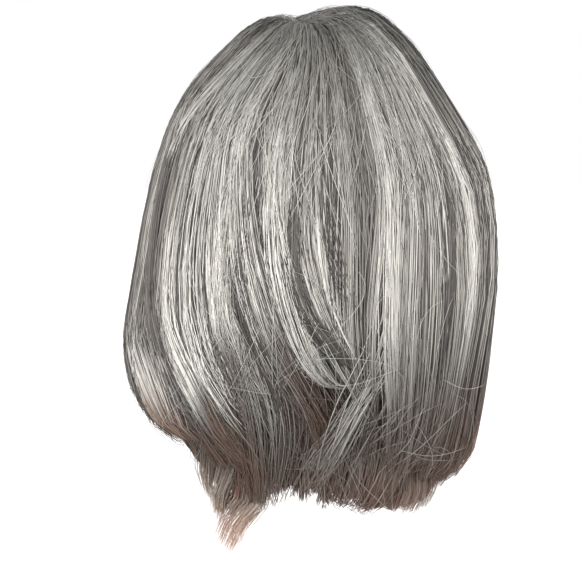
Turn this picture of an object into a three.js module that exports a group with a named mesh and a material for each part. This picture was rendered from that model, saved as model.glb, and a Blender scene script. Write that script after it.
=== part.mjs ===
// A shoulder-length synthetic wig: a thin stretch cap with tiers of hair sewn round it.
// Millimetres, +Z up. The wearer's face looks along -Y, and +X is the wearer's left.
// The origin is the inside of the cap's crown, where it sits on the head.
import * as THREE from "three";

// Driving sizes

const HEAD = { halfWidth: 77, halfDepth: 97, halfHeight: 115 };
const CAP_WALL = 1.5;
const SEAT_GAP = 0.3;
const WEFT_FOOT = 2.2; // thickness of the sewn strip at the root of each tier
const TIP_THICKNESS = 0.8;

// The cap's rim, as its height at angles from the middle of the forehead to the nape.
const CAP_RIM = [
  { angle: 0, height: -58 },
  { angle: 12, height: -58.6 },
  { angle: 42, height: -74 },
  { angle: 66, height: -136 },
  { angle: 92, height: -127 },
  { angle: 122, height: -150 },
  { angle: 150, height: -171 },
  { angle: 168, height: -180 },
  { angle: 180, height: -181.5 },
];
const CAP_ROWS = 8;
const CAP_TURNS = 32;

// Sections of the hair's outer form, from the part (level 0) to below the hem (level 10).
// left, right, back and front are reaches from the axis; leftZ and so on are the heights there.
const OUTER_ROWS = [
  { leftZ: 6, rightZ: 8, backZ: -1, frontZ: -37, left: 1, right: 1, back: 42, front: 80 },
  { leftZ: 5, rightZ: 13, backZ: -3, frontZ: -33, left: 27, right: 36, back: 60, front: 87 },
  { leftZ: -12, rightZ: -6, backZ: -24, frontZ: -42, left: 54, right: 60, back: 88, front: 97 },
  { leftZ: -46, rightZ: -44, backZ: -62, frontZ: -66, left: 84, right: 86, back: 111, front: 105 },
  { leftZ: -92, rightZ: -92, backZ: -104, frontZ: -104, left: 102, right: 112, back: 124, front: 108 },
  { leftZ: -150, rightZ: -150, backZ: -152, frontZ: -150, left: 114, right: 119, back: 128, front: 108 },
  { leftZ: -205, rightZ: -205, backZ: -205, frontZ: -200, left: 122, right: 115, back: 126, front: 105 },
  { leftZ: -250, rightZ: -250, backZ: -252, frontZ: -246, left: 110, right: 109, back: 117, front: 99 },
  { leftZ: -285, rightZ: -285, backZ: -287, frontZ: -282, left: 82, right: 101, back: 104, front: 91 },
  { leftZ: -310, rightZ: -310, backZ: -312, frontZ: -308, left: 67, right: 84, back: 92, front: 83 },
  { leftZ: -336, rightZ: -336, backZ: -338, frontZ: -332, left: 64, right: 66, back: 84, front: 76 },
];

// Sections of the hair's inner form at the same levels: the cap down to level 4, then the neck.
const INNER_ROWS = [
  { z: 0, side: 1, back: 40, front: 78 },
  { z: -8, side: 22, back: 55, front: 83 },
  { z: -30, side: 44, back: 72, front: 89 },
  { z: -66, side: 65, back: 88, front: 95 },
  { z: -115, side: 78.9, back: 98.9, front: 98.9 },
  { z: -150, side: 76, back: 95, front: 92 },
  { z: -205, side: 66, back: 80, front: 80 },
  { z: -250, side: 62, back: 76, front: 75 },
  { z: -285, side: 60, back: 74, front: 71 },
  { z: -310, side: 57, back: 72, front: 67 },
  { z: -336, side: 53, back: 69, front: 63 },
];
const DOME_LEVELS = 4;

// Angles run round the axis: 0 is the wearer's left, 90 the back and 180 the wearer's right.
const FRONT_LEFT = -46;
const FRONT_RIGHT = 226;
const PART_OFFSET = 8; // how far the part lies to the wearer's left of the middle
const PART_OFFSET_LEVEL = 2.5;
const PART_SPREAD = 39; // how far forward the front hair is rooted from where it hangs
const PART_SPREAD_LEVEL = 3;
const PART_SPREAD_REACH = 66;

// How the hair of each tier sweeps round by its tips, in degrees, and the level of the tips.
const CROWN_FALL = [
  { angle: -46, sweep: 4, tip: 6.9 },
  { angle: -10, sweep: 6, tip: 7.1 },
  { angle: 18, sweep: 13, tip: 7.35 },
  { angle: 42, sweep: 20, tip: 7.1 },
  { angle: 62, sweep: 25, tip: 6.75 },
  { angle: 82, sweep: 24, tip: 6.45 },
  { angle: 102, sweep: 6, tip: 6.7 },
  { angle: 124, sweep: -5, tip: 7.4 },
  { angle: 150, sweep: -4, tip: 7.85 },
  { angle: 180, sweep: -6, tip: 7.95 },
  { angle: 226, sweep: -4, tip: 7.4 },
];
const MIDDLE_FALL = [
  { angle: -44, sweep: 4, tip: 7.5 },
  { angle: 8, sweep: 12, tip: 7.75 },
  { angle: 34, sweep: 11, tip: 7.45 },
  { angle: 60, sweep: 10, tip: 7.6 },
  { angle: 95, sweep: -9, tip: 7.9 },
  { angle: 130, sweep: -10, tip: 8.3 },
  { angle: 170, sweep: -6, tip: 8.5 },
  { angle: 224, sweep: -4, tip: 7.9 },
];
const NAPE_FALL = [
  { angle: -42, sweep: 3, tip: 7.9 },
  { angle: 14, sweep: 5, tip: 8.3 },
  { angle: 34, sweep: 2, tip: 8.8 },
  { angle: 52, sweep: -2, tip: 8.7 },
  { angle: 74, sweep: 2, tip: 8.1 },
  { angle: 95, sweep: 0, tip: 8.15 },
  { angle: 130, sweep: -5, tip: 8.45 },
  { angle: 166, sweep: -6, tip: 8.4 },
  { angle: 222, sweep: -3, tip: 7.9 },
];

// Tiers of hair. A tier is rooted on the cap at level root and has settled into its own band by
// level settled. low and high are shares of the way from the inner form to the outer form.
const TIERS = {
  crown: { root: 0.06, settled: 2.3, rootLow: 0.04, low: 0.71, rootHigh: 1, high: 1, fall: CROWN_FALL },
  middle: { root: 2.6, settled: 3.8, rootLow: 0, low: 0.36, rootHigh: 0.2, high: 0.59, fall: MIDDLE_FALL },
  nape: { root: 4.02, settled: 5.2, rootLow: 0, low: 0.05, rootHigh: 0.1, high: 0.3, fall: NAPE_FALL },
};

// Each hair piece: its tier, the angles it spans and how many locks share them.
const HAIR_PIECES = [
  { name: "crown_hair", tier: "crown", from: FRONT_LEFT, to: FRONT_RIGHT, locks: 26 },
  { name: "left_weft", tier: "middle", from: -44, to: 19.5, locks: 6 },
  { name: "back_weft", tier: "middle", from: 20.5, to: 159.5, locks: 11 },
  { name: "right_weft", tier: "middle", from: 160.5, to: 224, locks: 6 },
  { name: "left_lower_weft", tier: "nape", from: -42, to: 19.5, locks: 5 },
  { name: "nape_weft", tier: "nape", from: 20.5, to: 159.5, locks: 11 },
  { name: "right_lower_weft", tier: "nape", from: 160.5, to: 222, locks: 5 },
];
// The first locks of the nape are broad, hang lower than the rest and flick out at their ends:
// their lift is a share of the way to the outer form, their flick is to the wearer's left, and
// taperFrom and flickFrom are shares of their length.
const TAIL_PIECE = "nape_weft";
const TAIL_LOCKS = [
  { tip: 8.7, breadth: 1.6, taperFrom: 0.8, flickFrom: 0.83, lift: 0.5, flick: 5 },
  { tip: 9.15, breadth: 1.9, taperFrom: 0.8, flickFrom: 0.7, lift: 0.5, flick: 10 },
  { tip: 9.75, breadth: 2.1, taperFrom: 0.84, flickFrom: 0.68, lift: 0.4, flick: 14 },
];

// A lock is a ridge on its tier's backing that hangs free below the hem and tapers to a tip.
const LOCK_RIDGE = 0.45; // where the two edges of its crest run, as shares of its half width
const LOCK_FREE = 0.95; // levels from the backing's hem down to the lock's tip
const LOCK_STAGGER = 0.12; // levels by which every other lock ends lower than its neighbours
const LOCK_SUNK = 0.8; // height of every other lock's crest beside its neighbours'
const BACKING_SHARE = 0.32; // share of a tier's band that its backing fills
const TAPER_FROM = 0.65; // share of a lock's length where it starts to taper
const TIP_WIDTH = 0.15; // width of a lock's tip as a share of its crest's
const TIP_CREST = 0.6; // and height of its tip as a share of its crest's
const FALL_STEPS = 10;
const STEP_GROWTH = 1.3; // steps down a fall are shortest at its root

const FINISHES = {
  cap: { color: 0x4a4644, roughness: 0.9, metalness: 0 },
  crown: { color: 0xaaa7a1, roughness: 0.45, metalness: 0 },
  middle: { color: 0x908b86, roughness: 0.45, metalness: 0 },
  nape: { color: 0x6f645d, roughness: 0.5, metalness: 0 },
};
const DEGREE = Math.PI / 180;

// Interpolation

function mix(a, b, t) {
  return a + (b - a) * t;
}

function ease(t) {
  const held = Math.min(Math.max(t, 0), 1);
  return held * held * (3 - 2 * held);
}

function catmullRom(before, here, next, after, t) {
  const rise = (next - before) / 2;
  const nextRise = (after - here) / 2;
  const a = 2 * here - 2 * next + rise + nextRise;
  const b = -3 * here + 3 * next - 2 * rise - nextRise;
  return ((a * t + b) * t + rise) * t + here;
}

// The columns of a table at a place between its rows, counted from row 0.
function rowAt(rows, place) {
  const last = rows.length - 1;
  const index = Math.min(Math.max(Math.floor(place), 0), last - 1);
  const row = (n) => rows[Math.min(Math.max(n, 0), last)];
  const made = {};
  for (const key of Object.keys(rows[index])) {
    const four = [-1, 0, 1, 2].map((step) => row(index + step)[key]);
    made[key] = catmullRom(...four, place - index);
  }
  return made;
}

// The columns of a table whose rows are placed by their angle.
function rowAtAngle(rows, angle) {
  const last = rows.length - 1;
  let index = 0;
  while (index < last - 1 && rows[index + 1].angle <= angle) index += 1;
  const span = rows[index + 1].angle - rows[index].angle;
  return rowAt(rows, index + Math.min(Math.max((angle - rows[index].angle) / span, 0), 1));
}

// The hair's form

function capHeightAt(x, y) {
  const inside = 1 - (x / (HEAD.halfWidth + CAP_WALL)) ** 2 - (y / (HEAD.halfDepth + CAP_WALL)) ** 2;
  return (HEAD.halfHeight + CAP_WALL) * Math.sqrt(Math.max(inside, 0)) - HEAD.halfHeight;
}

function partOffset(level) {
  return PART_OFFSET * (1 - ease(level / PART_OFFSET_LEVEL));
}

function outerPoint(level, angle) {
  const row = rowAt(OUTER_ROWS, level);
  const across = Math.cos(angle * DEGREE);
  const along = Math.sin(angle * DEGREE);
  const x = across * (across > 0 ? row.left : row.right) + partOffset(level);
  const y = along * (along > 0 ? row.back : row.front);
  const sideZ = across > 0 ? row.leftZ : row.rightZ;
  return new THREE.Vector3(x, y, mix(sideZ, along > 0 ? row.backZ : row.frontZ, along ** 2));
}

function innerPoint(level, angle) {
  const row = rowAt(INNER_ROWS, level);
  const along = Math.sin(angle * DEGREE);
  const x = Math.cos(angle * DEGREE) * row.side + partOffset(level);
  const y = along * (along > 0 ? row.back : row.front);
  return new THREE.Vector3(x, y, level < DOME_LEVELS ? capHeightAt(x, y) + SEAT_GAP : row.z);
}

// Front hair hangs beside the face but is rooted further forward, along the part.
function flowAngle(hangAngle, level) {
  const forward = 1 - ease(level / PART_SPREAD_LEVEL);
  const nearLeft = ease((FRONT_LEFT + PART_SPREAD_REACH - hangAngle) / PART_SPREAD_REACH);
  const nearRight = ease((hangAngle - FRONT_RIGHT + PART_SPREAD_REACH) / PART_SPREAD_REACH);
  return hangAngle + forward * PART_SPREAD * (nearRight - nearLeft);
}

// Where hair of a tier that is rooted at a hang angle has swept to, a level down its fall.
function sweptAngle(tier, hangAngle, level) {
  const { sweep, tip } = rowAtAngle(tier.fall, hangAngle);
  const along = Math.max((level - tier.root) / (tip - tier.root), 0);
  return flowAngle(hangAngle, level) + sweep * Math.min(along, 1) ** 2;
}

// A point of a tier at a level down its fall and a share of the way to the outer form.
function hairPoint(tier, level, hangAngle, share) {
  const angle = sweptAngle(tier, hangAngle, level);
  return innerPoint(level, angle).lerp(outerPoint(level, angle), share);
}

function hairDepth(tier, level, hangAngle) {
  return hairPoint(tier, level, hangAngle, 0).distanceTo(hairPoint(tier, level, hangAngle, 1));
}

// The band of shares that a tier fills at a level.
function tierBand(tier, level) {
  const settled = ease((level - tier.root) / (tier.settled - tier.root));
  return {
    low: mix(tier.rootLow, tier.low, settled),
    high: mix(tier.rootHigh, tier.high, settled),
  };
}

// Solids

// A closed geometry through rings of the same number of points, with its two ends zipped shut.
function loft(rings) {
  const count = rings[0].length;
  const corners = [];
  const quad = (a, b, c, d) => corners.push(a, c, b, a, d, c);
  rings.slice(1).forEach((ring, i) => {
    const above = rings[i];
    for (let j = 0; j < count; j += 1) {
      const next = (j + 1) % count;
      quad(above[j], above[next], ring[next], ring[j]);
    }
  });
  const zip = (ring, turned) => {
    for (let j = 0; j < (count - 2) / 2; j += 1) {
      const back = count - 1 - j;
      const faces = [[ring[j], ring[j + 1], ring[back]]];
      if (back - 1 > j + 1) faces.push([ring[j + 1], ring[back - 1], ring[back]]);
      faces.forEach((face) => corners.push(...(turned ? face.reverse() : face)));
    }
  };
  zip(rings[0], false);
  zip(rings[rings.length - 1], true);
  return new THREE.BufferGeometry().setFromPoints(corners);
}

// The columns of a hair piece: a groove, then the two edges of a lock's crest, lock by lock.
function columnsOf(piece) {
  const { fall } = TIERS[piece.tier];
  const share = (piece.to - piece.from) / piece.locks;
  const groove = (angle) => ({
    angle,
    offset: 0,
    height: BACKING_SHARE,
    taperFrom: TAPER_FROM,
    end: rowAtAngle(fall, angle).tip - LOCK_FREE,
  });
  const columns = [];
  for (let i = 0; i < piece.locks; i += 1) {
    const angle = piece.from + share * (i + 0.5);
    const tail = piece.name === TAIL_PIECE ? TAIL_LOCKS[i] : undefined;
    const stagger = i % 2 ? LOCK_STAGGER : -LOCK_STAGGER;
    const end = tail?.tip ?? rowAtAngle(fall, angle).tip + stagger;
    const height = i % 2 ? LOCK_SUNK : 1;
    const offset = 0.5 * share * LOCK_RIDGE * (tail?.breadth ?? 1);
    const taperFrom = tail?.taperFrom ?? TAPER_FROM;
    columns.push(groove(angle - share / 2));
    columns.push({ angle, offset: -offset, height, end, taperFrom, tail });
    columns.push({ angle, offset, height, end, taperFrom, tail });
  }
  columns.push(groove(piece.to));
  return columns;
}

// A hair piece: one curtain from its sewn root to its locks' tips, ridged outside and smooth inside.
function hairGeometry(piece) {
  const tier = TIERS[piece.tier];
  const columns = columnsOf(piece);
  const rings = [];
  for (let step = 0; step <= FALL_STEPS; step += 1) {
    const along = (step / FALL_STEPS) ** STEP_GROWTH;
    const outside = [];
    const inside = [];
    for (const { angle, offset, height, end, taperFrom, tail } of columns) {
      const level = mix(tier.root, end, along);
      const taper = 1 - ease((along - taperFrom) / (1 - taperFrom));
      const band = tierBand(tier, level);
      const outward = tail ? ease((along - tail.flickFrom) / (1 - tail.flickFrom)) : 0;
      const low = band.low + (tail?.lift ?? 0) * outward;
      const flick = new THREE.Vector3((tail?.flick ?? 0) * outward, 0, 0);
      const hangAngle = angle + offset * mix(TIP_WIDTH, 1, taper);
      const thinnest = mix(TIP_THICKNESS, WEFT_FOOT, taper) / hairDepth(tier, level, hangAngle);
      const crest = Math.max((band.high - band.low) * height * mix(TIP_CREST, 1, taper), thinnest);
      outside.push(hairPoint(tier, level, hangAngle, low + crest).add(flick));
      inside.unshift(hairPoint(tier, level, hangAngle, low).add(flick));
    }
    rings.push([...outside, ...inside]);
  }
  return loft(rings);
}

// The cap: a lathed shell whose points are then laid on the head down to the rim.
function capGeometry() {
  const fractions = Array.from({ length: CAP_ROWS + 1 }, (_, i) => i / CAP_ROWS);
  const profile = [
    ...fractions.map((f) => ({ f, wall: 0 })),
    ...fractions.toReversed().map((f) => ({ f, wall: CAP_WALL })),
  ];
  const geometry = new THREE.LatheGeometry(
    profile.map(({ f, wall }) => new THREE.Vector2(f, 1 - f + wall)),
    CAP_TURNS,
  );
  const position = geometry.getAttribute("position");
  for (let i = 0; i < position.count; i += 1) {
    const { f, wall } = profile[i % profile.length];
    const turn = (Math.floor(i / profile.length) % CAP_TURNS) / CAP_TURNS;
    const fromForehead = 180 * (1 - Math.abs(2 * turn - 1));
    const rimHeight = rowAtAngle(CAP_RIM, fromForehead).height;
    const polar = f * Math.acos((rimHeight + HEAD.halfHeight) / HEAD.halfHeight);
    const heading = 2 * Math.PI * turn;
    position.setXYZ(
      i,
      (HEAD.halfWidth + wall) * Math.sin(polar) * Math.sin(heading),
      -(HEAD.halfDepth + wall) * Math.sin(polar) * Math.cos(heading),
      (HEAD.halfHeight + wall) * Math.cos(polar) - HEAD.halfHeight,
    );
  }
  return geometry;
}

// The wig

function named(name, geometry, finish) {
  const mesh = new THREE.Mesh(geometry, new THREE.MeshStandardMaterial(finish));
  mesh.name = name;
  return mesh;
}

const wig = new THREE.Group();
wig.add(named("cap", capGeometry(), FINISHES.cap));
for (const piece of HAIR_PIECES) {
  wig.add(named(piece.name, hairGeometry(piece), FINISHES[piece.tier]));
}

export default wig;
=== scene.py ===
"""Dresses the shoulder-length wig: strands of hair in locks over each tier, and the stretch cap inside.

The hair's form is the one that the solids have. Its tables are in millimetres and degrees, and
meshes are made in metres. -Y is the way the wearer's face looks and +X is the wearer's left.
"""

import bpy
import numpy as np
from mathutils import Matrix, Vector


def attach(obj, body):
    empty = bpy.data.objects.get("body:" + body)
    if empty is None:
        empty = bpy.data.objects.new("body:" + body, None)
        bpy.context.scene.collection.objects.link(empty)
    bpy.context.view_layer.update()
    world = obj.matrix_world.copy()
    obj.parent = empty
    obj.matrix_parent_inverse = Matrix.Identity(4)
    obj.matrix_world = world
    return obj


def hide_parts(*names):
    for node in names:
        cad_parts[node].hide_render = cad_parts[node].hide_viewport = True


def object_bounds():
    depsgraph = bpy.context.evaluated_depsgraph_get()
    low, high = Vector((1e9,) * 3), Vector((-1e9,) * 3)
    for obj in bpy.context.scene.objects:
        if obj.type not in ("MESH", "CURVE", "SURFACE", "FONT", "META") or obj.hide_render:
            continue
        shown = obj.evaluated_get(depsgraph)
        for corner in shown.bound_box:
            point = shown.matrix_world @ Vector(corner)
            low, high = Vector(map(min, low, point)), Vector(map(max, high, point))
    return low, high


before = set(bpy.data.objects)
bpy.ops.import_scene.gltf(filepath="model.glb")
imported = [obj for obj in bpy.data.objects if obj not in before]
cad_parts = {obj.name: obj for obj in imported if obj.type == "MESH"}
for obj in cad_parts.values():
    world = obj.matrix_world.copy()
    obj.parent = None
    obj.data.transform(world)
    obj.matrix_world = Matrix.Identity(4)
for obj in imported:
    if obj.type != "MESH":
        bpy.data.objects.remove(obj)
cad_low, cad_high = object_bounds()

MM = 0.001
SEED = 7


def columns(names, rows):
    """A table as one array for each named column."""
    return dict(zip(names.split(), np.array(rows, float).T))


# The hair's form

HEAD = {"half_width": 77, "half_depth": 97, "half_height": 115}
CAP_WALL = 1.5
SEAT_GAP = 0.3

# Sections from the part (level 0) to below the hem (level 10): reaches from the axis and heights there.
OUTER_ROWS = columns(
    "left_z right_z back_z front_z left right back front",
    [
        (6, 8, -1, -37, 1, 1, 42, 80),
        (5, 13, -3, -33, 27, 36, 60, 87),
        (-12, -6, -24, -42, 54, 60, 88, 97),
        (-46, -44, -62, -66, 84, 86, 111, 105),
        (-92, -92, -104, -104, 102, 112, 124, 108),
        (-150, -150, -152, -150, 114, 119, 128, 108),
        (-205, -205, -205, -200, 122, 115, 126, 105),
        (-250, -250, -252, -246, 110, 109, 117, 99),
        (-285, -285, -287, -282, 82, 101, 104, 91),
        (-310, -310, -312, -308, 67, 84, 92, 83),
        (-336, -336, -338, -332, 64, 66, 84, 76),
    ],
)
INNER_ROWS = columns(
    "z side back front",
    [
        (0, 1, 40, 78),
        (-8, 22, 55, 83),
        (-30, 44, 72, 89),
        (-66, 65, 88, 95),
        (-115, 78.9, 98.9, 98.9),
        (-150, 76, 95, 92),
        (-205, 66, 80, 80),
        (-250, 62, 76, 75),
        (-285, 60, 74, 71),
        (-310, 57, 72, 67),
        (-336, 53, 69, 63),
    ],
)
DOME_LEVELS = 4

# Angles run round the axis: 0 is the wearer's left, 90 the back and 180 the wearer's right.
FRONT_LEFT = -46
FRONT_RIGHT = 226
PART_OFFSET = 8
PART_OFFSET_LEVEL = 2.5
PART_SPREAD = 39
PART_SPREAD_LEVEL = 3
PART_SPREAD_REACH = 66

# How the hair of each tier sweeps round by its tips, in degrees, and the level of the tips.
CROWN_FALL = columns(
    "angle sweep tip",
    [(-46, 4, 6.9), (-10, 6, 7.1), (18, 13, 7.35), (42, 20, 7.1), (62, 25, 6.75), (82, 24, 6.45),
     (102, 6, 6.7), (124, -5, 7.4), (150, -4, 7.85), (180, -6, 7.95), (226, -4, 7.4)],
)
MIDDLE_FALL = columns(
    "angle sweep tip",
    [(-44, 4, 7.5), (8, 12, 7.75), (34, 11, 7.45), (60, 10, 7.6), (95, -9, 7.9), (130, -10, 8.3),
     (170, -6, 8.5), (224, -4, 7.9)],
)
NAPE_FALL = columns(
    "angle sweep tip",
    [(-42, 3, 7.9), (14, 5, 8.3), (34, 2, 8.8), (52, -2, 8.7), (74, 2, 8.1), (95, 0, 8.15),
     (130, -5, 8.45), (166, -6, 8.4), (222, -3, 7.9)],
)

# Where crown hair that hangs at an angle is rooted round the whorl: it fans out to the left.
CROWN_ROOTS = columns(
    "hang root",
    [(-46, -46), (0, 4), (12, 20), (22, 38), (30, 52), (40, 66), (55, 80), (75, 91), (95, 101),
     (115, 115), (135, 131), (160, 152), (190, 186), (226, 226)],
)
FAN_LEVEL = 3.6
# How far the crown hair swooshes round between two levels, in degrees, by where it hangs.
CROWN_SWOOSH = columns(
    "hang turn",
    [(20, 0), (40, 5), (58, 6), (76, 2), (92, -4), (106, 0), (120, 0), (135, -2), (150, -4.5),
     (180, -6), (205, -4), (226, -1.5)],
)
SWOOSH_LEVELS = (4.6, 6.6)

# Each tier: where it is rooted and settles, the band it fills between the two forms at its root and once
# settled, and how late on its way down it sweeps round.
TIERS = {
    "crown": dict(
        root=0.06, settled=2.3, root_low=0.04, low=0.71, root_high=1, high=1, late=5, fall=CROWN_FALL
    ),
    "middle": dict(
        root=2.6, settled=3.8, root_low=0, low=0.36, root_high=0.2, high=0.59, late=2, fall=MIDDLE_FALL
    ),
    "nape": dict(
        root=4.02, settled=5.2, root_low=0, low=0.05, root_high=0.1, high=0.3, late=2, fall=NAPE_FALL
    ),
}


def mix(a, b, t):
    return a + (b - a) * t


def ease(t):
    held = np.clip(t, 0, 1)
    return held * held * (3 - 2 * held)


def rising(value, start, end):
    """0 up to the start, 1 from the end on, and smooth between them."""
    return ease((value - start) / (end - start))


def falling(value, start, end):
    return 1 - rising(value, start, end)


def rows_at(table, place):
    """The table's columns at places between its rows, on a smooth curve through them."""
    last = len(next(iter(table.values()))) - 1
    index = np.clip(np.floor(place).astype(int), 0, last - 1)
    t = place - index
    made = {}
    for name, values in table.items():
        before, here, after, beyond = (values[np.clip(index + k, 0, last)] for k in (-1, 0, 1, 2))
        rise = (after - before) / 2
        next_rise = (beyond - here) / 2
        a = 2 * here - 2 * after + rise + next_rise
        b = -3 * here + 3 * after - 2 * rise - next_rise
        made[name] = ((a * t + b) * t + rise) * t + here
    return made


def rows_at_angle(table, angle):
    return rows_at(table, np.interp(angle, table["angle"], np.arange(len(table["angle"]))))


def cap_height(x, y, wall):
    inside = 1 - (x / (HEAD["half_width"] + wall)) ** 2 - (y / (HEAD["half_depth"] + wall)) ** 2
    return (HEAD["half_height"] + wall) * np.sqrt(np.maximum(inside, 0)) - HEAD["half_height"]


def part_offset(level):
    return PART_OFFSET * falling(level, 0, PART_OFFSET_LEVEL)


def outer_point(level, angle):
    row = rows_at(OUTER_ROWS, level)
    across = np.cos(np.radians(angle))
    along = np.sin(np.radians(angle))
    x = across * np.where(across > 0, row["left"], row["right"]) + part_offset(level)
    y = along * np.where(along > 0, row["back"], row["front"])
    side_z = np.where(across > 0, row["left_z"], row["right_z"])
    z = mix(side_z, np.where(along > 0, row["back_z"], row["front_z"]), along**2)
    return np.stack([x, y, z], -1)


def inner_point(level, angle):
    row = rows_at(INNER_ROWS, level)
    along = np.sin(np.radians(angle))
    x = np.cos(np.radians(angle)) * row["side"] + part_offset(level)
    y = along * np.where(along > 0, row["back"], row["front"])
    z = np.where(level < DOME_LEVELS, cap_height(x, y, CAP_WALL) + SEAT_GAP, row["z"])
    return np.stack([x, y, z], -1)


def flow_angle(hang, level):
    """Front hair hangs beside the face but is rooted further forward, along the part."""
    near_left = falling(hang, FRONT_LEFT, FRONT_LEFT + PART_SPREAD_REACH)
    near_right = rising(hang, FRONT_RIGHT - PART_SPREAD_REACH, FRONT_RIGHT)
    return hang + falling(level, 0, PART_SPREAD_LEVEL) * PART_SPREAD * (near_right - near_left)


def swept_angle(tier, hang, level):
    fall = rows_at_angle(tier["fall"], hang)
    along = np.clip((level - tier["root"]) / (fall["tip"] - tier["root"]), 0, 1)
    return flow_angle(hang, level) + fall["sweep"] * along ** tier["late"]


def fanned_angle(hang, level):
    """How far round from where it hangs the crown hair is: fanned at the roots, swooshed below."""
    shift = np.interp(hang, CROWN_ROOTS["hang"], CROWN_ROOTS["root"]) - hang
    turn = np.interp(hang, CROWN_SWOOSH["hang"], CROWN_SWOOSH["turn"])
    return shift * falling(level, 0, FAN_LEVEL) + turn * rising(level, *SWOOSH_LEVELS)


def between_forms(level, angle, share):
    """Points at a share of the way from the inner form to the outer form."""
    return mix(inner_point(level, angle), outer_point(level, angle), share[..., None])


def tier_band(tier, level):
    settled = rising(level, tier["root"], tier["settled"])
    return mix(tier["root_low"], tier["low"], settled), mix(tier["root_high"], tier["high"], settled)


# Meshes from arrays

BAKE_MAP = "OFBake"
# The order of a quad's corners that makes it face the other way.
TURNED = [0, 3, 2, 1]


def mesh_piece(name, points, faces, uv, material):
    """A smooth mesh that rides on the wig. faces has one array for each number of corners."""
    corners = np.concatenate([group.ravel() for group in faces]).astype(np.int32)
    sizes = np.concatenate([np.full(len(group), group.shape[1]) for group in faces])
    mesh = bpy.data.meshes.new(name)
    mesh.vertices.add(len(points))
    mesh.vertices.foreach_set("co", (points * MM).astype(np.float32).ravel())
    mesh.loops.add(len(corners))
    mesh.loops.foreach_set("vertex_index", corners)
    mesh.polygons.add(len(sizes))
    mesh.polygons.foreach_set("loop_start", (np.cumsum(sizes) - sizes).astype(np.int32))
    layer = mesh.uv_layers.new(name=BAKE_MAP)
    layer.uv.foreach_set("vector", uv[corners].astype(np.float32).ravel())
    mesh.update(calc_edges=True)
    mesh.shade_smooth()
    mesh.materials.append(material)
    piece = bpy.data.objects.new(name, mesh)
    bpy.context.scene.collection.objects.link(piece)
    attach(piece, "root")
    return piece


def grid_quads(grid):
    """The quads of a grid of point numbers."""
    return np.stack([grid[:-1, :-1], grid[1:, :-1], grid[1:, 1:], grid[:-1, 1:]], -1).reshape(-1, 4)


def rim_quads(here, there):
    """The quads between two rows of point numbers."""
    return np.stack([here[:-1], here[1:], there[1:], there[:-1]], -1)


STRAND_SIDES = 3
# The way out at a point is the way there from the origin, with less of its height.
OUTWARD = np.array([1, 1, 0.3])
NEVER_ZERO = 1e-9
TONE_ENDS = (0.02, 0.98)
SHADE_ENDS = (0.01, 0.99)


def unit(vectors):
    return vectors / (np.linalg.norm(vectors, axis=-1, keepdims=True) + NEVER_ZERO)


def strand_mesh(paths, radii):
    """Closed tapered tubes along paths (strands, stations, 3): points, side quads and end triangles."""
    count, stations, _ = paths.shape
    tangent = unit(np.gradient(paths, axis=1))
    across = unit(np.cross(tangent, paths * OUTWARD))
    lift = np.cross(across, tangent)
    turns = (np.arange(STRAND_SIDES) * 2 * np.pi / STRAND_SIDES + np.pi / 2)[:, None]
    ring = across[:, :, None] * np.cos(turns) + lift[:, :, None] * np.sin(turns)
    points = paths[:, :, None] + ring * radii[:, :, None, None]
    index = np.arange(count * stations * STRAND_SIDES).reshape(count, stations, STRAND_SIDES)
    here = index[:, :-1]
    below = index[:, 1:]
    sides = np.stack([here, np.roll(here, -1, 2), np.roll(below, -1, 2), below], -1).reshape(-1, 4)
    ends = np.concatenate([index[:, 0], index[:, -1, ::-1]])
    return points.reshape(-1, 3), [sides, ends]


def strand_piece(name, strands, fibre):
    """One mesh of many strands. A strand's tone and its places in the shading are its map coordinates."""
    points, faces = strand_mesh(strands["paths"], strands["radii"])
    stations = strands["paths"].shape[1]
    tone = np.repeat(np.clip(strands["tone"], *TONE_ENDS), stations * STRAND_SIDES)
    shade = np.repeat(np.clip(strands["shade"], *SHADE_ENDS).ravel(), STRAND_SIDES)
    uv = np.stack([tone, shade], -1)
    mesh_piece(name, points, faces, uv, MATERIALS[fibre])


# Materials


def new_material(name, roughness, specular):
    material = bpy.data.materials.new(name)
    material.use_nodes = True
    shader = material.node_tree.nodes["Principled BSDF"]
    shader.inputs["Roughness"].default_value = roughness
    shader.inputs["Specular IOR Level"].default_value = specular
    return material, material.node_tree, shader


def srgb(r, g, b):
    """A colour given by its 0 to 255 values, as Blender's linear numbers, by the sRGB formula."""
    c = np.array([r, g, b]) / 255
    linear = np.where(c <= 0.04045, c / 12.92, ((c + 0.055) / 1.055) ** 2.4)
    return (*linear, 1.0)


def feed(tree, socket, value):
    """Links an output to a socket, or sets a constant there."""
    if isinstance(value, bpy.types.NodeSocket):
        tree.links.new(value, socket)
    else:
        socket.default_value = value


def add_node(tree, kind, inputs):
    """A new shader node, with its inputs fed by name."""
    node = tree.nodes.new("ShaderNode" + kind)
    for name, value in inputs.items():
        feed(tree, node.inputs[name], value)
    return node


def ramp(tree, source, stops):
    node = add_node(tree, "ValToRGB", {"Fac": source})
    elements = node.color_ramp.elements
    while len(elements) < len(stops):
        elements.new(0.5)
    for element, (place, colour) in zip(elements, stops):
        element.position = place
        element.color = colour
    return node.outputs["Color"]


def grey_ramp(tree, source, stops):
    """A ramp through greys, given as (place, brightness)."""
    return ramp(tree, source, [(place, (value, value, value, 1.0)) for place, value in stops])


def mixed(tree, blend, factor, a, b):
    node = add_node(tree, "Mix", {"Factor": factor})
    node.data_type = "RGBA"
    node.blend_type = blend
    for socket, colour in zip((socket for socket in node.inputs if socket.type == "RGBA"), (a, b)):
        feed(tree, socket, colour)
    return next(socket for socket in node.outputs if socket.type == "RGBA")


def math_node(tree, operation, *values):
    node = tree.nodes.new("ShaderNodeMath")
    node.operation = operation
    for socket, value in zip(node.inputs, values):
        feed(tree, socket, value)
    return node.outputs[0]


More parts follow.
